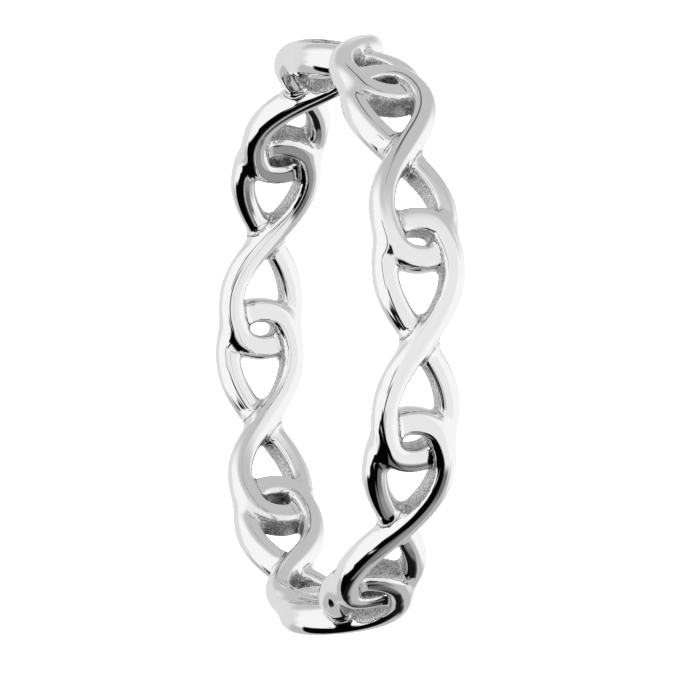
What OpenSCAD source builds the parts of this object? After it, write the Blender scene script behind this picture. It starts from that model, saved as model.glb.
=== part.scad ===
// Finger ring: an open band of interlaced figure-eight links, cast in one piece.
// Each link is one closed strand that crosses itself in the middle, and its two
// loops pass over and under the loops of the links on either side.
// The ring lies on its side: the finger hole runs along Z, and the band stands on Z = 0.

/* [Band] */
// Diameter of the finger hole
bore_d = 17.3; // [15:0.1:21]
// Width of the band, along the finger
band_w = 3; // [2.7:0.1:3.6]
// Thickness of the band, from the finger hole to the outside
band_t = 1.4; // [1.2:0.05:1.8]

/* [Links] */
// Number of figure-eight links round the band
link_count = 9; // [8:1:10]
// How far a loop reaches past the middle between two links
loop_reach = 0.64; // [0.54:0.02:0.9]
// Share by which the loop ends are blunter than a plain wave
end_bluntness = 0.026; // [0:0.002:0.03]
// Share by which the sides of a link are fuller than a plain wave
side_fullness = 0.17; // [0:0.01:0.2]

/* [Strand] */
// Width of the strand
strand_w = 0.78; // [0.6:0.02:0.9]
// Thickness of the strand, from its inner to its outer face
strand_t = 1.04; // [0.8:0.02:1.16]
// How square the strand's section is: 2 is an ellipse
section_power = 2.6; // [2:0.2:5]
// Depth lapped off both sides of the band, so that it lies flat
side_lap = 0.035; // [0:0.005:0.06]

/* [Hidden] */

steps = 22;     // lengths along half a link
corners = 12;   // corners of the strand's section
pitch = 360 / link_count;
bore_r = bore_d / 2;
mid_r = bore_r + band_t / 2;
degree = PI / 180 * mid_r;   // arc length of one degree at the middle of the band
weave = (band_t - strand_t) / 2;   // how far a strand rises and dips
half_link = (pitch / 2 + loop_reach / degree) / (1 - end_bluntness);

// Height of a wave of size 1 above the middle of the band
function wave(s) = -(sin(2 * s) + side_fullness * sin(4 * s));
wave_top = max([for (s = [0 : 2 : 90]) -wave(s)]);
rise = (band_w / 2 + side_lap - strand_w / 2) / wave_top;

// Centre line of a link as [angle, height, radius]: it crosses itself at s = 0 and 180
function along(s) = half_link * (sin(s) - end_bluntness * sin(5 * s));
function path(s) = [along(s), rise * wave(s), mid_r + weave * cos(s)];

// Direction along the strand, laid out flat: [round the band, up]
function heading(s) =
    let (
        round_band = half_link * degree * (cos(s) - 5 * end_bluntness * cos(5 * s)),
        up = -rise * (2 * cos(2 * s) + 4 * side_fullness * cos(4 * s))
    )
    [round_band, up] / norm([round_band, up]);

// One coordinate of the section's outline, from the cosine or sine of its angle
function rounded(c) = sign(c) * pow(abs(c), 2 / section_power);
flat_at = rounded(cos(180 / corners));

// One corner of the section, in millimetres
function corner(s, k) =
    let (
        p = path(s),
        d = heading(s),
        turn = (k + 0.5) * 360 / corners,
        across = strand_w / 2 * rounded(cos(turn)) / flat_at,
        out = strand_t / 2 * rounded(sin(turn)) / flat_at,
        angle = p[0] - d[1] * across / degree,
        height = max(-band_w / 2, min(band_w / 2, p[1] + d[0] * across)),
        radius = p[2] + out
    )
    [radius * cos(angle), radius * sin(angle), height];

// Half a link, from the end of one loop to the end of the other
module strand(start) {
    points = [for (i = [0 : steps], k = [0 : corners - 1]) corner(start + 180 * i / steps, k)];
    sides = [for (i = [0 : steps - 1], k = [0 : corners - 1])
        let (
            a = i * corners + k,
            b = i * corners + (k + 1) % corners
        )
        each [[a, b + corners, b], [a, a + corners, b + corners]]];
    first = [for (k = [0 : corners - 1]) k];
    last = [for (k = [corners - 1 : -1 : 0]) steps * corners + k];
    polyhedron(points, concat([first], sides, [last]));
}

// The whole ring: a fused weave of links
module band() {
    color([0.86, 0.86, 0.87])
        translate([0, 0, band_w / 2])
            for (i = [0 : link_count - 1])
                rotate([0, 0, i * pitch - 90]) {
                    strand(-90);
                    strand(90);
                }
}

band();
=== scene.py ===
"""Infinity ring: a slim silver band of interlaced figure-eight links, cast in one piece.

The ring lies on its side on a plain pale floor, with the finger hole along Z and the
band standing on Z = 0. All sizes are in metres.
"""
from math import cos, pi, radians, sin
from types import SimpleNamespace

import bpy
import numpy as np
from bpy.props import FloatProperty, FloatVectorProperty, IntProperty, PointerProperty
from mathutils import Matrix, Vector


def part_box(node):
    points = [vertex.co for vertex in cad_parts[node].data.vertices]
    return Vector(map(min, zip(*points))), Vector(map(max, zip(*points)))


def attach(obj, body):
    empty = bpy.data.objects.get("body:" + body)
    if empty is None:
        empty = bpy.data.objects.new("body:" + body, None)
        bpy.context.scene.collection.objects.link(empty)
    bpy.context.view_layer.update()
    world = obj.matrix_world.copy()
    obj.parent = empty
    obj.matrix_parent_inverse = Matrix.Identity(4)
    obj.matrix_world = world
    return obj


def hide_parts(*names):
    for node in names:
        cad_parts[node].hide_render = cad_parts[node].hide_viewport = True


bl_info = {
    "name": "Infinity Ring",
    "version": (1, 0, 0),
    "blender": (4, 5, 0),
    "location": "View3D > Sidebar > Ring",
    "description": "A finger ring of interlaced figure-eight links, with its silver finish and studio",
    "category": "Add Mesh",
}

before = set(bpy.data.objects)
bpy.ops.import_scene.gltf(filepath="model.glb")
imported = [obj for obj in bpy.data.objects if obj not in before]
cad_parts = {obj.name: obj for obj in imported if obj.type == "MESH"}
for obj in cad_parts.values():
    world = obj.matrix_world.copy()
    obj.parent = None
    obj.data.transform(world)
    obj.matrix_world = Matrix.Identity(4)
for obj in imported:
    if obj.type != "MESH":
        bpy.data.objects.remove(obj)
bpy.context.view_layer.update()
BAND_LOW, BAND_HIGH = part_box("band")
BAND_WIDTH = BAND_HIGH.z - BAND_LOW.z
TURN = 2 * pi
TINY = 1e-9             # keeps a division away from zero

# Mesh of one link
ROWS = 230              # steps along the closed strand
COLUMNS = 48            # points round its section
BEND_WEIGHT = 0.6       # how much the section's bend counts against its length in their spacing
FINE_TURNS = 4001       # points at which the section is measured for that
FINE_STEPS = 6001       # points at which the strand's length is measured

# Shape of the strand
SIDE_LAP = 0.000035     # how far the strand would stand past the sides if it weren't lapped
LAP_START = 3           # how far inside a side the lap begins to press, in laps
SIDE_SWAP = 0.2         # sine of s over which the section's two sides swap at the crossing
TIP_FROM = 0.8          # sine of s from which a loop's end begins
SECTION_TIP = 0.17      # and over which the section changes to the end's
BULGE_STOP = 1.2        # share of half the thickness past which the bulge narrows no more
LEAST_BULGE = -0.5      # the bulge's least factor, about that of BULGE_STOP

# Search for the strands near a point
OWN_PAST = 0.2          # how far past the loop's ends the point's own half is searched, in s
CROSSING_SPAN = radians(62)  # how far to either side of the crossing the other half is
OWN_SAMPLES = 300       # places tried along the own half
CROSSING_SAMPLES = 200  # along the other half
LINK_SAMPLES = 560      # and along each link on either side
END_ALLOWANCE = 0.00001  # how far past a searched strand's end a point still counts as beside it
LEAST_F = 1e-3          # least superellipse value, for points on the centre line

# Where strands run into each other
WEB_SPREAD = 0.00024    # how far from the band's middle radius the web fillet reaches
NEWTON_STEPS = 10
NEWTON_SHARE = 0.9      # share of a full Newton step that is taken
LEAST_SLOPE = 0.15      # least square of the slope that a step is divided by
JOINT_STEPS = (7, 8)    # steps before which points slide onto the line where two strands meet
JOINT_REACH = 0.00006   # how far a point may slide onto that line
LEAST_WAY = 1e-6        # least square of the way's length that the slide is divided by
SUNK_FROM = 0.00006     # depth inside another strand from which points keep their own place
SUNK_WITHIN = 0.0002    # and over which they come to do so fully
DRAW_IN = 0.12          # share of the way to the centre line by which those are drawn in

# Where the cast skin shows, and where the painted shade lies
WALL_FROM = 0.72        # cosine round the section from which its side is a wall
WALL_WITHIN = 0.2       # and over which it becomes one
WALL_SWAP = 0.12        # sine of s over which the wall changes sides at the crossing
END_TIP = 0.08          # sine of s past TIP_FROM over which a loop's end wall begins
EYE_TIP = 0.1           # the same for the walls of the eyes, where the painted shade lies
END_RIM = 0.58          # share of half the width from which an end wall gives way to the rim
CREVICE_RIM = 0.52      # the same for a crevice
RIM_WITHIN = 0.2        # share of half the width over which they do so
CREVICE_WIDTH = 0.00012  # reach of the unpolished crevice along a line where strands meet
DULL_AND_SHADE_FROM = 0.0046      # distance from the Y axis past which the loops' end walls are left unpolished, and painted shade lies in the eyes and on those walls
DULL_AND_SHADE_WITHIN = 0.001     # length over which both come in fully
END_SHADE = 0.45      # how dark the painted shade on a loop's end wall is there, against that on the walls of the eyes

# Noise of the silver and of its painted shade, in features per metre
FINE_GRAIN = 15000
COARSE_GRAIN = 5200
BLOTCHES = 3200
POLISH_HAZE = 3500
POLISH_WAVES = 900
EDGE_WANDER = 0.7       # how far the coarse grain moves the edge of the cast skin
SHADE_COVER = 0.95    # share of the skin's colour that the painted shade hides at its darkest blotch

# Floor, softbox and picture
FLOOR_RADIUS = 1.5
FLOOR_CORNERS = 96
FLOOR_DROP = 0.00002    # how far under the ring the floor lies
FLOOR_ROUGHNESS = 0.6
SOFTBOX_SIDE = 0.5
SOFTBOX_HEIGHT = 0.6
SENSOR = 36             # width of the camera's sensor, in millimetres
PICTURE = 678           # width of the picture, in pixels
AIM_RIGHT = 1.75        # how far the camera aims to the right of the ring's middle, in pixels
AIM_BELOW = 4.66        # and below it


class RingSizes(bpy.types.PropertyGroup):
    """Sizes of the band, its links and its strand"""

    bore_d: FloatProperty(
        name="Finger hole",
        description="Diameter of the finger hole",
        default=0.0173,
        unit="LENGTH",
    )
    band_w: FloatProperty(
        name="Band width",
        description="Width of the band, along the finger",
        default=BAND_WIDTH,
        unit="LENGTH",
    )
    band_t: FloatProperty(
        name="Band thickness",
        description="Thickness of the band, from the finger hole to the outside",
        default=0.0014,
        unit="LENGTH",
    )
    link_count: IntProperty(
        name="Links",
        description="Number of figure-eight links round the band",
        default=9,
        min=8,
        max=10,
    )
    loop_reach: FloatProperty(
        name="Loop reach",
        description="How far a loop reaches past the middle between two links",
        default=0.00064,
        unit="LENGTH",
    )
    bluntness: FloatProperty(
        name="End bluntness",
        description="Share by which the loop ends are blunter than a plain wave",
        default=0.026,
    )
    fullness: FloatProperty(
        name="Side fullness",
        description="Share by which the sides of a link are fuller than a plain wave",
        default=0.17,
    )
    strand_w: FloatProperty(
        name="Strand width",
        description="Width of the strand",
        default=0.00081,
        unit="LENGTH",
    )
    strand_t: FloatProperty(
        name="Strand thickness",
        description="Thickness of the strand, from its inner to its outer face",
        default=0.00104,
        unit="LENGTH",
    )
    rim_power: FloatProperty(
        name="Squareness at the rims",
        description="How square the section is on the side that faces out of a loop; 2 is an ellipse",
        default=1.95,
    )
    hole_power: FloatProperty(
        name="Squareness at the holes",
        description="How square the section is on the side that faces a hole; 2 is an ellipse",
        default=3.8,
    )
    end_power: FloatProperty(
        name="Squareness at the ends",
        description="How square the section is on the outside of a loop's end; 2 is an ellipse",
        default=3.6,
    )
    eye_power: FloatProperty(
        name="Squareness at the eyes",
        description="How square the section is on the inside of a loop's end; 2 is an ellipse",
        default=4.4,
    )
    eye_bulge: FloatProperty(
        name="Bulge in the eyes",
        description="How far a loop's end stands out at mid-thickness into the eye between two loops",
        default=0.00001,
        unit="LENGTH",
    )
    end_bulge: FloatProperty(
        name="Bulge at the ends",
        description="How far a loop's end stands out at mid-thickness into the next link's hole",
        default=0.00003,
        unit="LENGTH",
    )
    web_fillet: FloatProperty(
        name="Web fillet",
        description="Reach of the cast fillet where a link crosses itself",
        default=0.00055,
        unit="LENGTH",
    )
    eye_fillet: FloatProperty(
        name="Eye fillet",
        description="Reach of the cast fillet where the loops of two links meet",
        default=0.00028,
        unit="LENGTH",
    )
    step_fillet: FloatProperty(
        name="Step fillet",
        description="Reach of the fillet where an over strand stands on an under strand",
        default=0.00027,
        unit="LENGTH",
    )


def derived(props):
    """The sizes that follow from the chosen ones: the middle radius, how far a strand rises
    and dips, half a link's length at the middle radius, and the height of its wave."""
    z = SimpleNamespace()
    z.links = props.link_count
    z.pitch = TURN / props.link_count
    z.mid_r = (props.bore_d + props.band_t) / 2
    z.weave = (props.band_t - props.strand_t) / 2
    z.blunt, z.full = props.bluntness, props.fullness
    z.half_link = (z.pitch / 2 * z.mid_r + props.loop_reach) / (1 - z.blunt)
    z.side, z.half_t = props.strand_w / 2, props.strand_t / 2
    z.rim_power, z.hole_power = props.rim_power, props.hole_power
    z.end_power, z.eye_power = props.end_power, props.eye_power
    z.eye_bulge, z.end_bulge = props.eye_bulge, props.end_bulge
    z.web, z.eye, z.step = props.web_fillet, props.eye_fillet, props.step_fillet
    z.low_r, z.high_r = props.bore_d / 2, props.bore_d / 2 + props.band_t
    z.half_w = props.band_w / 2
    quarter = np.radians(np.arange(0, 91, 2.0))
    wave_top = (np.sin(2 * quarter) + z.full * np.sin(4 * quarter)).max()
    z.rise = (z.half_w + SIDE_LAP - z.side) / wave_top
    return z


def centre_line(s, z):
    """Middle of the strand at s, laid out flat, as (distance round the band, height, radius).
    Round: half a link x (sin s - blunt sin 5s). Height: -rise x (sin 2s + full sin 4s).
    Radius: middle radius + weave x cos s. The strand crosses itself at s = 0 and s = pi."""
    round_band = z.half_link * (np.sin(s) - z.blunt * np.sin(5 * s))
    height = -z.rise * (np.sin(2 * s) + z.full * np.sin(4 * s))
    radius = z.mid_r + z.weave * np.cos(s)
    return np.stack([round_band, height, radius], -1)


def heading(s, z):
    """Unit direction of the strand in the flat layout (round the band, height): the
    derivative of centre_line, made unit length. The second value is its length."""
    along = z.half_link * (np.cos(s) - 5 * z.blunt * np.cos(5 * s))
    up = -z.rise * (2 * np.cos(2 * s) + 4 * z.full * np.cos(4 * s))
    speed = np.hypot(along, up)
    return np.stack([along, up], -1) / speed[..., None], speed


def grow(value, start, width):
    """Goes evenly from 0 at start to 1 at start + width."""
    return np.clip((value - start) / width, 0, 1)


def eased(t):
    """Goes from 0 to 1 as t does, but level at both ends: 3 t squared - 2 t cubed."""
    return t * t * (3 - 2 * t)


def towards_tip(s, width):
    """From 0 to 1 towards a loop's end, over that width of the sine of s from TIP_FROM on."""
    return grow(np.abs(np.sin(s)), TIP_FROM, width)


def section(s, z):
    """Power and bulge of the section's two sides at s, each as (left, right) of the heading.
    The side towards the loop's inside has the holes' power and the other the rims', and
    the sides swap at the crossing. At the loop's end, where the sine of s is near 1 or -1,
    the inside has the eyes' power and the outside the ends', and both have a bulge."""
    inside = 0.5 + 0.5 * np.tanh(np.sin(s) / SIDE_SWAP)
    tip = eased(towards_tip(s, SECTION_TIP))
    inner = z.hole_power + (z.eye_power - z.hole_power) * tip
    outer = z.rim_power + (z.end_power - z.rim_power) * tip
    powers = (outer + (inner - outer) * inside, inner + (outer - inner) * inside)
    inner, outer = z.eye_bulge * tip, z.end_bulge * tip
    bulges = (outer + (inner - outer) * inside, inner + (outer - inner) * inside)
    return powers, bulges


def round_turns(count, z):
    """Turn angles round the section, closer together at its corners: equal steps of the
    sum of arc length and bend of the hole side's superellipse."""
    t = np.linspace(0, TURN, FINE_TURNS)
    x, y = (np.sign(c) * np.abs(c) ** (2 / z.hole_power) for c in (np.cos(t), np.sin(t)))
    across, out = z.side * np.diff(x), z.half_t * np.diff(y)
    step = np.hypot(across, out)
    bend = np.abs(np.gradient(np.unwrap(np.arctan2(out, across))))
    each = step / step.sum() + BEND_WEIGHT * bend / bend.sum()
    total = np.concatenate([[0], np.cumsum(each)])
    return np.interp(np.linspace(0, total[-1], count, endpoint=False), total, t)


def even_steps(count, z):
    """Values of s at equal lengths along the closed strand, from s = -pi / 2."""
    s = np.linspace(-pi / 2, 1.5 * pi, FINE_STEPS)
    line = centre_line(s, z)
    length = np.concatenate([[0], np.cumsum(np.linalg.norm(np.diff(line, axis=0), axis=1))])
    return np.interp(np.linspace(0, length[-1], count, endpoint=False), length, s)


def swept(s, turns, z):
    """Surface of one link as a grid of flat points: centre_line(s) plus half the width times
    the section's cosine across the heading, and half the thickness times its sine outwards.
    The section is a superellipse: each of the two is raised to 2 / power, sign kept. To the
    half width comes the bulge times 1 less the square of the share of half the thickness."""
    line = centre_line(s, z)[:, None]
    ahead = heading(s, z)[0][:, None]
    powers, bulges = section(s, z)
    c, q = np.cos(turns)[None], np.sin(turns)[None]
    power = np.where(c > 0, powers[0][:, None], powers[1][:, None])
    share = np.sign(q) * np.abs(q) ** (2 / power)
    bulge = np.where(c > 0, bulges[0][:, None], bulges[1][:, None])
    across = (z.side + bulge * (1 - share**2)) * np.sign(c) * np.abs(c) ** (2 / power)
    out = z.half_t * share
    return np.stack(
        [
            line[..., 0] - ahead[..., 1] * across,
            line[..., 1] + ahead[..., 0] * across,
            line[..., 2] + out,
        ],
        -1,
    )


def distance(points, samples, shift, z):
    """Distance of flat points from a strand's surface, below zero inside, and its gradient.
    The nearest of the strand's samples gives the place along it, and the offset across the
    heading and outwards gives the superellipse value f; the distance is (f - 1) over the
    length of f's gradient."""

    def offset(s):
        """Offset of the points from the strand at s, and the strand's heading and speed."""
        here = centre_line(s, z)
        here[:, 0] += shift
        return (points - here, *heading(s, z))

    line = centre_line(samples, z)
    line[:, 0] += shift
    flat = points[:, None, :2] - line[None, :, :2]
    s = samples[np.argmin((flat**2).sum(-1), axis=1)]
    for _ in range(2):
        gap, ahead, speed = offset(s)
        s = np.clip(s + (gap[:, :2] * ahead).sum(-1) / speed, samples[0], samples[-1])
    gap, ahead, speed = offset(s)
    beyond = np.abs((gap[:, :2] * ahead).sum(-1))
    powers, bulges = section(s, z)
    u = gap[:, 1] * ahead[:, 0] - gap[:, 0] * ahead[:, 1]
    v = gap[:, 2]
    power = np.where(u > 0, *powers)
    bulge = np.where(u > 0, *bulges)
    b = np.abs(v) / z.half_t
    half = z.side + bulge * np.maximum(1 - b**2, LEAST_BULGE)
    a = np.abs(u) / half
    f = np.maximum((a**power + b**power) ** (1 / power), LEAST_F)
    a_part, b_part = (a / f) ** (power - 1), (b / f) ** (power - 1)
    narrowing = np.where(b < BULGE_STOP, 2 * b * bulge / z.half_t, 0)
    du = np.sign(u) * a_part / half
    dv = np.sign(v) * (b_part / z.half_t + a_part * a / half * narrowing)
    steep = np.maximum(np.hypot(du, dv), TINY)
    slope = np.stack([-ahead[:, 1] * du, ahead[:, 0] * du, dv], -1) / steep[:, None]
    return (f - 1) / steep + np.maximum(beyond - END_ALLOWANCE, 0), slope


def halves(s):
    """The strand's over half and its under half, each as (whether it is over, its rows)."""
    over = np.cos(s) >= 0
    return (True, over), (False, ~over)


def strands_near(points, over, z):
    """Distances and slopes of the four strands that can lie near flat points of one link:
    the half that they are on, the link's other half round the crossing, and the loops of
    the links on either side."""
    here, there = (0, pi) if over else (pi, 0)
    half = np.linspace(-pi / 2 - OWN_PAST, pi / 2 + OWN_PAST, OWN_SAMPLES) + here
    crossing = np.linspace(-CROSSING_SPAN, CROSSING_SPAN, CROSSING_SAMPLES) + there
    whole = np.linspace(0, TURN, LINK_SAMPLES)
    step = z.pitch * z.mid_r
    strands = ((half, 0.0), (crossing, 0.0), (whole, -step), (whole, step))
    found = [distance(points, samples, shift, z) for samples, shift in strands]
    return np.stack([gap for gap, _ in found]), np.stack([slope for _, slope in found])


def joined(points, over, z):
    """Value of the cast surface at flat points, zero on it, and its slope. With d0 the
    smallest of the strands' distances d, it is d0 less the sum over the other strands of
    h squared / 4k, where h = k - (d - d0) if that is above zero. The fillet's reach k in
    the middle of the band is the web fillet at a crossing and the eye fillet half way to
    the next, by a cosine, and it falls to the step fillet towards the band's faces as a
    bell curve."""
    gaps, slopes = strands_near(points, over, z)
    middle = np.exp(-(((points[:, 2] - z.mid_r) / WEB_SPREAD) ** 2))
    at_crossing = 0.5 + 0.5 * np.cos(TURN * points[:, 0] / (z.pitch * z.mid_r))
    k = z.step + (z.eye + (z.web - z.eye) * at_crossing - z.step) * middle
    first = gaps.argmin(0)
    least = gaps.min(0)
    h = np.maximum(k - (gaps - least), 0)
    np.put_along_axis(h, first[None], 0, 0)
    share = h / (2 * k)
    np.put_along_axis(share, first[None], 1 - share.sum(0)[None], 0)
    return least - (h**2).sum(0) / (4 * k), (share[..., None] * slopes).sum(0)


def onto_joint(points, over, z):
    """Slides points of the cast surface that lie close to the line where two strands meet
    onto that line, where the strands' distances are equal, so that edges of the mesh run
    along it. The way is the slope of the difference less its part along the surface's own
    slope, and a point further off than JOINT_REACH stays."""
    gaps, slopes = strands_near(points, over, z)
    other = 1 + gaps[1:].argmin(0)
    picked = np.arange(len(points))
    apart = gaps[0] - gaps[other, picked]
    out = joined(points, over, z)[1]
    out /= np.maximum(np.linalg.norm(out, axis=-1), TINY)[:, None]
    way = slopes[0] - slopes[other, picked]
    way -= (way * out).sum(-1)[:, None] * out
    step = -apart[:, None] * way / np.maximum((way**2).sum(-1), LEAST_WAY)[:, None]
    return points + step * (np.linalg.norm(step, axis=-1) < JOINT_REACH)[:, None]


def fused(grid, s, z):
    """Moves the points of a link that lie near another strand onto the cast surface, where
    joined is zero, by Newton steps along its slope, and those close to the line where the
    two strands meet onto that line. Points deeper inside another strand keep their old
    place instead and are drawn in towards their own centre line, so that no two strands'
    surfaces coincide."""
    result = grid.copy()
    count = grid.shape[1]
    middle = np.repeat(centre_line(s, z)[:, None], count, 1)
    for over, rows in halves(s):
        points = grid[rows].reshape(-1, 3)
        depth = strands_near(points, over, z)[0][1:].min(0)
        near = np.abs(depth) < z.web
        moved = points[near].copy()
        for turn in range(NEWTON_STEPS):
            if turn in JOINT_STEPS:
                moved = onto_joint(moved, over, z)
            value, slope = joined(moved, over, z)
            steep = np.maximum((slope**2).sum(-1), LEAST_SLOPE)[:, None]
            moved -= NEWTON_SHARE * value[:, None] * slope / steep
        sunk = eased(grow(-depth[near], SUNK_FROM, SUNK_WITHIN))[:, None]
        kept = points[near] + DRAW_IN * (middle[rows].reshape(-1, 3)[near] - points[near])
        points[near] = moved * (1 - sunk) + kept * sunk
        result[rows] = points.reshape(-1, count, 3)
    return result


def facing(grid, s, z):
    """The cast surface's own outward direction at each flat point, as (round, height, out):
    the slope of joined, made unit length. Where strands meet, both strands' surfaces so
    get the same direction and mirror the light alike."""
    result = np.empty_like(grid)
    for over, rows in halves(s):
        points = grid[rows].reshape(-1, 3)
        slope = joined(points, over, z)[1]
        slope[:, 0] *= z.mid_r / points[:, 2]
        slope /= np.maximum(np.linalg.norm(slope, axis=-1), TINY)[:, None]
        result[rows] = slope.reshape(-1, grid.shape[1], 3)
    return result


def lapped(flat, z):
    """Presses heights beyond the band's sides back onto them, smoothly. From a short way
    inside a side, with t going from 0 there to 1 at the side plus the lap, the height is
    that start plus the way x (m t - (m - 1) t squared), m = 1 + lap / way."""
    way = LAP_START * SIDE_LAP
    more = (way + SIDE_LAP) / way
    height = np.abs(flat[..., 1])
    t = grow(height, z.half_w - way, way + SIDE_LAP)
    pressed = z.half_w - way + way * (more * t - (more - 1) * t * t)
    result = flat.copy()
    result[..., 1] = np.sign(flat[..., 1]) * np.where(t > 0, pressed, height)
    result[..., 2] = np.clip(flat[..., 2], z.low_r, z.high_r)
    return result


def off_rim(grid, start, z):
    """From 1 to 0 towards the rims, from that share of half the band's width on."""
    return 1 - grow(np.abs(grid[..., 1]) / z.half_w, start, RIM_WITHIN)


def cast_walls(s, turns):
    """How much each grid point lies on an unpolished wall of a hole, from 0 to 1: the side
    towards the loop's inside, away from the section's rounded corners."""
    side = np.cos(turns)[None] * np.tanh(np.sin(s) / WALL_SWAP)[:, None]
    return grow(side, WALL_FROM, WALL_WITHIN)


def cast_ends(grid, s, turns, z):
    """How much each grid point lies on the wall of a loop's end that faces into the next
    link's hole, from 0 to 1: the side towards the loop's outside, away from the rims."""
    side = -np.cos(turns)[None] * np.sign(np.sin(s))[:, None]
    tip = towards_tip(s, END_TIP)[:, None]
    return grow(side, WALL_FROM, WALL_WITHIN) * tip * off_rim(grid, END_RIM, z)


def crevices(grid, s, z):
    """How near each flat point is to a line where two strands meet, from 0 to 1: a bell
    curve of the difference between its two least distances from the strands. It fades out
    towards the rims, where the polish reaches."""
    result = np.empty(grid.shape[:2])
    for over, rows in halves(s):
        gaps = np.sort(strands_near(grid[rows].reshape(-1, 3), over, z)[0], axis=0)
        apart = (gaps[1] - gaps[0]) / CREVICE_WIDTH
        result[rows] = np.exp(-(apart**2)).reshape(-1, grid.shape[1])
    return result * off_rim(grid, CREVICE_RIM, z)


def wrap(flat, z):
    """Rolls flat points (round, height, radius) up into the ring: the angle is the distance
    round the band over the middle radius, taken from the -Y side."""
    angle = flat[..., 0] / z.mid_r - pi / 2
    radius = flat[..., 2]
    return np.stack([radius * np.cos(angle), radius * np.sin(angle), flat[..., 1]], -1)


def wrap_directions(flat, ways, z):
    """Turns directions (round, height, out) at flat points into the ring's own axes."""
    angle = flat[..., 0] / z.mid_r - pi / 2
    c, q = np.cos(angle), np.sin(angle)
    x = ways[..., 2] * c - ways[..., 0] * q
    y = ways[..., 2] * q + ways[..., 0] * c
    return np.stack([x, y, ways[..., 1]], -1)


def closed_faces(rows, columns):
    """Corner indices of the quads of a grid that is closed both ways, facing outwards."""
    i, j = np.meshgrid(np.arange(rows), np.arange(columns), indexing="ij")
    i2, j2 = (i + 1) % rows, (j + 1) % columns
    quads = np.stack([i * columns + j, i * columns + j2, i2 * columns + j2, i2 * columns + j], -1)
    return quads.reshape(-1, 4)


def grid_mesh(name, points, quads):
    """A smooth mesh of whole arrays of points and quads."""
    mesh = bpy.data.meshes.new(name)
    mesh.vertices.add(len(points))
    mesh.vertices.foreach_set("co", points.astype(np.float32).ravel())
    mesh.loops.add(quads.size)
    mesh.loops.foreach_set("vertex_index", quads.astype(np.int32).ravel())
    mesh.polygons.add(len(quads))
    mesh.polygons.foreach_set("loop_start", np.arange(0, quads.size, 4, dtype=np.int32))
    mesh.polygons.foreach_set("use_smooth", np.ones(len(quads), bool))
    mesh.update(calc_edges=True)
    mesh.validate()
    return mesh


def band_mesh(z):
    """The whole band: one link's fused grid, turned on by one pitch for each link, with its own normals
    and the attributes that the silver reads: cast_wall, crevice, and the painted shade that darkens the
    walls of the eyes and the loops' end walls away from the Y axis."""
    s = even_steps(ROWS, z)
    turns = round_turns(COLUMNS, z)
    link = fused(swept(s, turns, z), s, z)
    ways = wrap_directions(link, facing(link, s, z), z).reshape(-1, 3)
    first = wrap(lapped(link, z), z).reshape(-1, 3)
    quads = closed_faces(ROWS, COLUMNS)
    walls = cast_walls(s, turns)
    eyes = (walls * towards_tip(s, EYE_TIP)[:, None]).ravel()
    ends = cast_ends(link, s, turns, z).ravel()
    points, faces, normals, rough, dark = [], [], [], [], []
    for i in range(z.links):
        c, q = cos(i * z.pitch), sin(i * z.pitch)
        turn = np.array([[c, q, 0], [-q, c, 0], [0, 0, 1]])
        points.append(first @ turn + [0, 0, z.half_w])
        normals.append(ways @ turn)
        faces.append(quads + i * ROWS * COLUMNS)
        # Away from the Y axis the end walls are left rough, and the eyes and end walls take painted
        # shade
        dull_and_shaded = grow(np.abs(points[-1][:, 0]), DULL_AND_SHADE_FROM, DULL_AND_SHADE_WITHIN)
        rough.append(np.maximum(walls.ravel(), ends * dull_and_shaded))
        # dark is painted shade, laid over the walls of the eyes and the end walls
        dark.append(np.maximum(eyes, ends * END_SHADE) * dull_and_shaded)
    mesh = grid_mesh("woven_band", np.concatenate(points), np.concatenate(faces))
    mesh.normals_split_custom_set_from_vertices(np.concatenate(normals).tolist())
    for name, values in (
        ("cast_wall", np.concatenate(rough)),
        ("crevice", np.tile(crevices(link, s, z).ravel(), z.links)),
        # the painted shade of the eyes and end walls
        ("painted_shade", np.concatenate(dark)),
    ):
        layer = mesh.attributes.new(name, "FLOAT", "POINT")
        layer.data.foreach_set("value", values.astype(np.float32))
    return mesh


class SilverLook(bpy.types.PropertyGroup):
    """Colours and finish of the silver"""

    polished: FloatVectorProperty(
        name="Polished colour",
        description="Colour of the polished faces",
        default=(0.93, 0.93, 0.935),
        subtype="COLOR",
    )
    cast: FloatVectorProperty(
        name="Cast colour",
        description="Colour of the unpolished walls in the holes",
        default=(0.92, 0.92, 0.925),
        subtype="COLOR",
    )
    pitted: FloatVectorProperty(
        name="Pitted colour",
        description="Colour of the pits in the unpolished walls",
        default=(0.40, 0.40, 0.41),
        subtype="COLOR",
    )
    # Colour of the painted shade laid over the walls of the eyes and the loops' end walls, away from
    # the Y axis
    painted_shade: FloatVectorProperty(
        name="Tarnish colour",
        description="Colour of the hollows that the polish missed",
        default=(0.08, 0.08, 0.085),
        subtype="COLOR",
    )
    gloss: FloatProperty(
        name="Polished roughness",
        description="Least roughness of the polished faces",
        default=0.04,
    )
    haze: FloatProperty(
        name="Haze",
        description="How much the roughness of the polished faces varies",
        default=0.03,
    )
    cast_gloss: FloatProperty(
        name="Cast roughness",
        description="Roughness of the unpolished walls",
        default=0.32,
    )
    wave_depth: FloatProperty(
        name="Wave depth",
        description="Depth of the shallow waves that hand polish leaves",
        default=0.0000015,
        unit="LENGTH",
        precision=7,
    )
    grain_depth: FloatProperty(
        name="Grain depth",
        description="Depth of the bumps of the unpolished walls",
        default=0.00004,
        unit="LENGTH",
        precision=6,
    )


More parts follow.
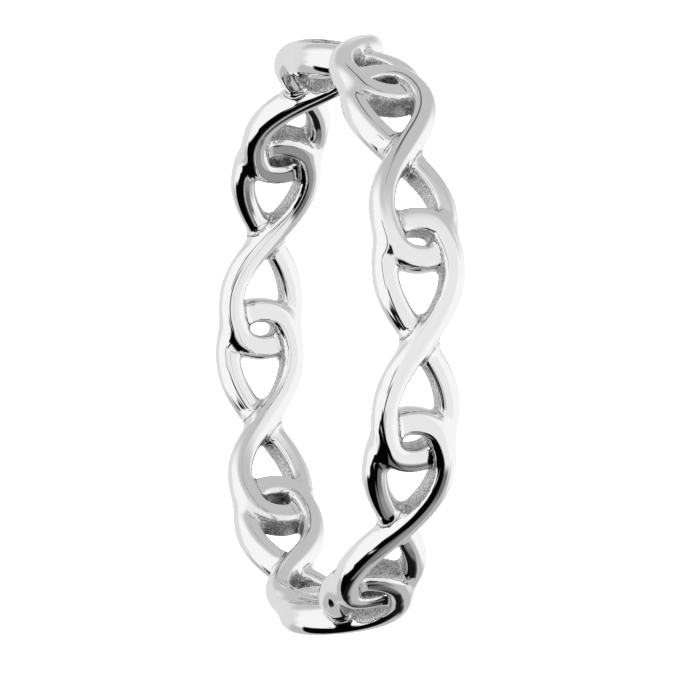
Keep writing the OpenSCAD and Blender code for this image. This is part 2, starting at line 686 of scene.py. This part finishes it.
class StudioLook(bpy.types.PropertyGroup):
    """Camera, floor and light"""

    lens: FloatProperty(
        name="Lens",
        description="Focal length of the camera",
        default=463.8,
        unit="CAMERA",
    )
    distance: FloatProperty(
        name="Camera distance",
        description="Distance of the camera from the middle of the ring",
        default=0.29145,
        unit="LENGTH",
    )
    elevation: FloatProperty(
        name="Elevation",
        description="Angle of the camera above the plane of the ring",
        default=radians(16.561),
        subtype="ANGLE",
    )
    azimuth: FloatProperty(
        name="Azimuth",
        description="Angle of the camera round the ring, from -Y towards +X",
        default=radians(1.009),
        subtype="ANGLE",
    )
    roll: FloatProperty(
        name="Roll",
        description="Turn of the camera about its own line of sight, past the ring standing upright",
        default=radians(0.733),
        subtype="ANGLE",
    )
    surround: FloatProperty(
        name="Surround",
        description="Brightness of the white light all round",
        default=0.98,
    )
    overhead: FloatProperty(
        name="Overhead light",
        description="Power of the softbox over the ring",
        default=5.0,
        unit="POWER",
    )
    floor_glow: FloatProperty(
        name="Floor glow",
        description="How brightly the floor itself glows",
        default=0.75,
    )
    floor: FloatVectorProperty(
        name="Floor colour",
        description="Colour of the floor",
        default=(0.95, 0.95, 0.95),
        subtype="COLOR",
    )


def add(nodes, kind, **values):
    """A node of that kind, with its properties set."""
    node = nodes.new(kind)
    for key, value in values.items():
        setattr(node, key, value)
    return node


def put(tree, value, slot):
    """Links a socket to an input, or sets the input to a plain value."""
    if isinstance(value, bpy.types.NodeSocket):
        tree.links.new(value, slot)
    else:
        slot.default_value = value


def value_group(name, vectors, floats, outputs):
    """An empty shader node group: vectors and floats go in, and floats come out. Returns the
    group, its input node and its output node."""
    group = bpy.data.node_groups.new(name, "ShaderNodeTree")
    for item in vectors:
        group.interface.new_socket(item, in_out="INPUT", socket_type="NodeSocketVector")
    for item in floats:
        group.interface.new_socket(item, in_out="INPUT", socket_type="NodeSocketFloat")
    for item in outputs:
        group.interface.new_socket(item, in_out="OUTPUT", socket_type="NodeSocketFloat")
    return group, group.nodes.new("NodeGroupInput"), group.nodes.new("NodeGroupOutput")


def noise(tree, place, scale, detail, roughness=0.5):
    """A noise texture's value at a place, with features about 1 / scale metres long."""
    texture = add(tree.nodes, "ShaderNodeTexNoise")
    texture.inputs["Scale"].default_value = scale
    texture.inputs["Detail"].default_value = detail
    texture.inputs["Roughness"].default_value = roughness
    tree.links.new(place, texture.inputs["Vector"])
    return texture.outputs["Fac"]


def maths(tree, operation, *operands):
    """The result of one Math node; each operand is a socket or a number."""
    node = add(tree.nodes, "ShaderNodeMath", operation=operation)
    for value, slot in zip(operands, node.inputs):
        put(tree, value, slot)
    return node.outputs[0]


def mixed(tree, kind, factor, first, second):
    """The result of one Mix node, the first at factor 0 and the second at 1; each of the
    three is a socket, a number or a colour."""
    node = add(tree.nodes, "ShaderNodeMix", data_type=kind)
    for value, name in ((factor, "Factor"), (first, "A"), (second, "B")):
        put(tree, value, node.inputs[name])
    return node.outputs["Result"]


def bump(tree, height, depth):
    """A Bump node for that height, with its depth in metres."""
    node = add(tree.nodes, "ShaderNodeBump")
    node.inputs["Distance"].default_value = depth
    tree.links.new(height, node.inputs["Height"])
    return node


def ramp(tree, value, start, end, low=0.0, high=1.0):
    """A value mapped smoothly from start..end to low..high."""
    node = add(tree.nodes, "ShaderNodeMapRange", interpolation_type="SMOOTHSTEP")
    node.inputs["From Min"].default_value = start
    node.inputs["From Max"].default_value = end
    node.inputs["To Min"].default_value = low
    node.inputs["To Max"].default_value = high
    tree.links.new(value, node.inputs["Value"])
    return node.outputs["Result"]


def cast_grain():
    """Node group: the skin of an unpolished casting. Rough is where it lies, from the walls and
    crevices with an edge that wanders by the grain. Fleck is its light and dark specks, Blotch the
    larger spots that break the painted shade into patches, and Height its bumps."""
    outputs = ("Rough", "Fleck", "Blotch", "Height")
    tree, given, result = value_group("cast_grain", ("Place",), ("Wall", "Crevice"), outputs)
    place = given.outputs["Place"]
    fine = noise(tree, place, FINE_GRAIN, 3, 0.6)
    coarse = noise(tree, place, COARSE_GRAIN, 2)
    spots = noise(tree, place, BLOTCHES, 3, 0.65)
    wander = maths(tree, "MULTIPLY", maths(tree, "SUBTRACT", coarse, 0.5), EDGE_WANDER)
    wall = ramp(tree, maths(tree, "ADD", given.outputs["Wall"], wander), 0.4, 0.6)
    crevice = ramp(tree, maths(tree, "ADD", given.outputs["Crevice"], wander), 0.7, 1.0)
    rough = maths(tree, "MAXIMUM", wall, crevice)
    bumps = maths(tree, "ADD", maths(tree, "MULTIPLY", fine, 0.6), maths(tree, "MULTIPLY", coarse, 0.9))
    for name, value in (
        ("Rough", rough),
        ("Fleck", ramp(tree, fine, 0.36, 0.62)),
        ("Blotch", ramp(tree, spots, 0.42, 0.62, 0.35, 1.0)),
        ("Height", maths(tree, "MULTIPLY", bumps, rough)),
    ):
        tree.links.new(value, result.inputs[name])
    return tree


def hand_polish():
    """Node group: the slight unevenness of a face polished by hand. Haze is how much its
    gloss varies, and Height its shallow waves."""
    tree, given, result = value_group("hand_polish", ("Place",), (), ("Haze", "Height"))
    place = given.outputs["Place"]
    haze = ramp(tree, noise(tree, place, POLISH_HAZE, 3), 0.35, 0.75)
    tree.links.new(haze, result.inputs["Haze"])
    tree.links.new(noise(tree, place, POLISH_WAVES, 1), result.inputs["Height"])
    return tree


def silver(look):
    """The ring's material: mirror-bright faces, and rough cast skin on the walls and in the crevices,
    where the mesh's attributes cast_wall and crevice say so. Painted shade, a dark colour, lies over
    the skin in blotches, where the mesh's painted-shade attribute says so."""
    material = bpy.data.materials.new("polished_silver")
    material.use_nodes = True
    tree = material.node_tree
    nodes, links = tree.nodes, tree.links
    place = add(nodes, "ShaderNodeTexCoord").outputs["Object"]
    grain = add(nodes, "ShaderNodeGroup", node_tree=cast_grain())
    polish = add(nodes, "ShaderNodeGroup", node_tree=hand_polish())
    for group in (grain, polish):
        links.new(place, group.inputs["Place"])
    wall, crevice, painted_shade = (
        add(nodes, "ShaderNodeAttribute", attribute_name=name).outputs["Fac"]
        for name in ("cast_wall", "crevice", "painted_shade")
    )
    links.new(wall, grain.inputs["Wall"])
    links.new(crevice, grain.inputs["Crevice"])

    rough = grain.outputs["Rough"]
    cast = mixed(tree, "RGBA", grain.outputs["Fleck"], (*look.pitted, 1), (*look.cast, 1))
    # Painted shade: the skin's colour goes towards the shade colour in blotches, where the
    # painted-shade attribute says so
    blotches = maths(tree, "MULTIPLY", grain.outputs["Blotch"], SHADE_COVER)
    skin = mixed(tree, "RGBA", maths(tree, "MULTIPLY", painted_shade, blotches), cast, (*look.painted_shade, 1))
    colour = mixed(tree, "RGBA", rough, (*look.polished, 1), skin)
    gloss = maths(tree, "MULTIPLY_ADD", polish.outputs["Haze"], look.haze, look.gloss)
    waves = bump(tree, polish.outputs["Height"], look.wave_depth)
    bumps = bump(tree, grain.outputs["Height"], look.grain_depth)
    links.new(waves.outputs["Normal"], bumps.inputs["Normal"])

    shader = nodes["Principled BSDF"]
    shader.inputs["Metallic"].default_value = 1.0
    links.new(colour, shader.inputs["Base Color"])
    links.new(mixed(tree, "FLOAT", rough, gloss, look.cast_gloss), shader.inputs["Roughness"])
    links.new(bumps.outputs["Normal"], shader.inputs["Normal"])
    return material


class RING_OT_band(bpy.types.Operator):
    """Make the band: interlaced figure-eight links, cast in one piece"""

    bl_idname = "ring.band"
    bl_label = "Woven Band"

    def execute(self, context):
        scene = context.scene
        mesh = band_mesh(derived(scene.ring_sizes))
        mesh.materials.append(silver(scene.ring_silver))
        piece = bpy.data.objects.new("woven_band", mesh)
        scene.collection.objects.link(piece)
        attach(piece, "root")
        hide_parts("band")
        return {"FINISHED"}


class RING_OT_studio(bpy.types.Operator):
    """Make the pale floor, the soft light and the camera"""

    bl_idname = "ring.studio"
    bl_label = "Studio"

    def execute(self, context):
        scene = context.scene
        look = scene.ring_studio
        pale_floor(scene, look)
        scene.world = soft_light(look)
        overhead_softbox(scene, look)
        place_camera(scene, look)
        scene.view_settings.view_transform = "Standard"
        return {"FINISHED"}


def pale_floor(scene, look):
    """The floor: a wide flat disc just under the ring, with a glow of its own. It lets the
    light from below pass to the ring, and the polished faces don't mirror it."""
    turns = np.linspace(0, TURN, FLOOR_CORNERS, endpoint=False)
    x, y = FLOOR_RADIUS * np.cos(turns), FLOOR_RADIUS * np.sin(turns)
    rim = np.stack([x, y, np.full(FLOOR_CORNERS, -FLOOR_DROP)], -1)
    mesh = bpy.data.meshes.new("floor")
    mesh.from_pydata(rim.tolist(), [], [list(range(FLOOR_CORNERS))])
    floor = bpy.data.objects.new("floor", mesh)
    scene.collection.objects.link(floor)
    material = bpy.data.materials.new("pale_floor")
    material.use_nodes = True
    shader = material.node_tree.nodes["Principled BSDF"]
    shader.inputs["Base Color"].default_value = (*look.floor, 1)
    shader.inputs["Roughness"].default_value = FLOOR_ROUGHNESS
    shader.inputs["Emission Color"].default_value = (1, 1, 1, 1)
    shader.inputs["Emission Strength"].default_value = look.floor_glow
    mesh.materials.append(material)
    floor.visible_glossy = False
    floor.visible_shadow = False


def overhead_softbox(scene, look):
    """The wide soft lamp over the ring, which neither the camera nor the polish shows."""
    lamp = bpy.data.lights.new("overhead_softbox", "AREA")
    lamp.shape = "SQUARE"
    lamp.size = SOFTBOX_SIDE
    lamp.energy = look.overhead
    softbox = bpy.data.objects.new("overhead_softbox", lamp)
    softbox.location = (0, 0, SOFTBOX_HEIGHT)
    softbox.visible_glossy = False
    softbox.visible_camera = False
    scene.collection.objects.link(softbox)


# What each zone of the surrounding light says: left and right azimuth (from -Y towards +X)
# with the softness of those edges, low and high elevation with theirs, all in degrees, how
# bright it is, and by how many degrees of azimuth its sides lean per degree of elevation.
ZONE_VALUES = ("Left", "Right", "Soft Sides", "Low", "High", "Soft Ends", "Shade", "Lean")

# The zones, with the ZONE_VALUES of each. A later zone lies over the ones before it.
ZONES = (
    (48, 162, 30, -58, 36, 30, 0.56, 0.0),
    (28, 60, 12, -14, 20, 12, 0.63, 0.0),
    (-50, 45, 16, -30, 40, 24, 0.86, 0.0),
    (-44, -26, 8, 0, 28, 8, 0.56, 0.0),
    (150, 200, 16, -30, 56, 16, 0.76, 0.0),
    (-200, -152, 12, -30, 56, 16, 0.76, 0.0),
    (-152, -56, 14, -50, 2, 14, 0.52, 0.0),
    (-156, -134, 10, 0, 42, 12, 0.52, 0.0),
    (84, 120, 10, -7, 1, 4, 0.10, 0.0),
    (62, 84, 6, -11, -4, 4, 0.34, 0.0),
    (-2, 42, 6, 46, 54, 4, 0.28, 0.0),
    (-98, -51, 5, -22, 10, 5, 0.17, 0.0),
    (-93, -64, 6, -23, -12, 4, 0.30, 0.0),
    (-134, -98, 5, -17.4, 14, 3, 0.008, 0.0),
    (-42, 3, 6, 30, 41, 5, 0.01, 0.0),
    (-134, -56, 5, 8, 51, 6, 0.001, 0.0),
    (-92, -48, 4, 48, 60, 4, 0.001, 0.0),
    (-67, -44, 5, -12, 54, 5, 0.001, 0.35),
)


def shade_zone():
    """Node group: one part of the surrounding light. Inside the box of azimuth and elevation
    that it is given, with its edges softened, the brightness goes from Around to Shade."""
    floats = ("Azimuth", "Elevation", *ZONE_VALUES, "Around")
    group, given, result = value_group("shade_zone", (), floats, ("Light",))
    ports = given.outputs
    leaning = maths(group, "MULTIPLY", ports["Elevation"], ports["Lean"])
    azimuth = maths(group, "SUBTRACT", ports["Azimuth"], leaning)
    mask = 1.0
    for first, second, soft in (
        (azimuth, ports["Left"], "Soft Sides"),
        (ports["Right"], azimuth, "Soft Sides"),
        (ports["Elevation"], ports["Low"], "Soft Ends"),
        (ports["High"], ports["Elevation"], "Soft Ends"),
    ):
        inside = maths(group, "DIVIDE", maths(group, "SUBTRACT", first, second), ports[soft])
        mask = maths(group, "MULTIPLY", ramp(group, inside, -0.5, 0.5), mask)
    light = mixed(group, "FLOAT", mask, ports["Around"], ports["Shade"])
    group.links.new(light, result.inputs["Light"])
    return group


def soft_light(look):
    """The light all round: a bright white surround with the ZONES laid over it, which the
    polished faces mirror as grey and black bands. The camera itself sees it plain white."""
    world = bpy.data.worlds.new("studio")
    world.use_nodes = True
    tree = world.node_tree
    nodes, links = tree.nodes, tree.links
    split = add(nodes, "ShaderNodeSeparateXYZ")
    links.new(add(nodes, "ShaderNodeTexCoord").outputs["Generated"], split.inputs[0])
    x, y, height = split.outputs
    azimuth = maths(tree, "ARCTAN2", x, maths(tree, "MULTIPLY", y, -1))
    azimuth = maths(tree, "DEGREES", azimuth)
    elevation = maths(tree, "DEGREES", maths(tree, "ARCSINE", height))
    group = shade_zone()
    light = look.surround
    for values in ZONES:
        zone = add(nodes, "ShaderNodeGroup", node_tree=group)
        for value, slot in zip((azimuth, elevation, *values, light), zone.inputs):
            put(tree, value, slot)
        light = zone.outputs["Light"]
    seen = add(nodes, "ShaderNodeLightPath").outputs["Is Camera Ray"]
    background = nodes["Background"]
    background.inputs["Color"].default_value = (1, 1, 1, 1)
    links.new(mixed(tree, "FLOAT", seen, light, 1.0), background.inputs["Strength"])
    return world


def place_camera(scene, look):
    """The camera at the photograph's angle: above the floor at the elevation, turned on its
    side so that the band's width runs across the picture."""
    t, p, r = look.elevation, look.azimuth, look.roll
    back = Vector((sin(p) * cos(t), -cos(p) * cos(t), sin(t)))
    right = Vector((sin(t) * sin(p), -sin(t) * cos(p), -cos(t)))
    up = Vector((cos(p), sin(p), 0))
    across = right * cos(r) + up * sin(r)
    upward = up * cos(r) - right * sin(r)
    pixel = look.distance / (look.lens / SENSOR * PICTURE)
    middle = Vector((0, 0, BAND_WIDTH / 2))
    aim = middle + across * AIM_RIGHT * pixel - upward * AIM_BELOW * pixel
    camera = bpy.data.cameras.new("camera")
    camera.lens = look.lens
    camera.sensor_width = SENSOR
    camera.clip_start, camera.clip_end = 0.01, 10
    holder = bpy.data.objects.new("camera", camera)
    turn = Matrix((across, upward, back)).transposed()
    holder.matrix_world = Matrix.Translation(aim + back * look.distance) @ turn.to_4x4()
    scene.collection.objects.link(holder)
    scene.camera = holder


class RING_PT_parts(bpy.types.Panel):
    """The ring's pieces and their sizes"""

    bl_idname = "RING_PT_parts"
    bl_label = "Infinity Ring"
    bl_space_type = "VIEW_3D"
    bl_region_type = "UI"
    bl_category = "Ring"

    def draw(self, context):
        layout = self.layout
        layout.operator(RING_OT_band.bl_idname)
        layout.operator(RING_OT_studio.bl_idname)
        for group in (context.scene.ring_sizes, context.scene.ring_silver, context.scene.ring_studio):
            column = layout.column(align=True)
            for name in group.bl_rna.properties.keys():
                if name not in ("rna_type", "name"):
                    column.prop(group, name)


CLASSES = (RingSizes, SilverLook, StudioLook, RING_OT_band, RING_OT_studio, RING_PT_parts)


def register():
    """Adds the classes and the groups of sizes."""
    for item in CLASSES:
        bpy.utils.register_class(item)
    bpy.types.Scene.ring_sizes = PointerProperty(type=RingSizes)
    bpy.types.Scene.ring_silver = PointerProperty(type=SilverLook)
    bpy.types.Scene.ring_studio = PointerProperty(type=StudioLook)


def unregister():
    """Takes the groups and classes away."""
    del bpy.types.Scene.ring_sizes, bpy.types.Scene.ring_silver, bpy.types.Scene.ring_studio
    for item in reversed(CLASSES):
        bpy.utils.unregister_class(item)


def main():
    register()
    bpy.ops.ring.band()
    bpy.ops.ring.studio()


if __name__ == "__main__":
    main()
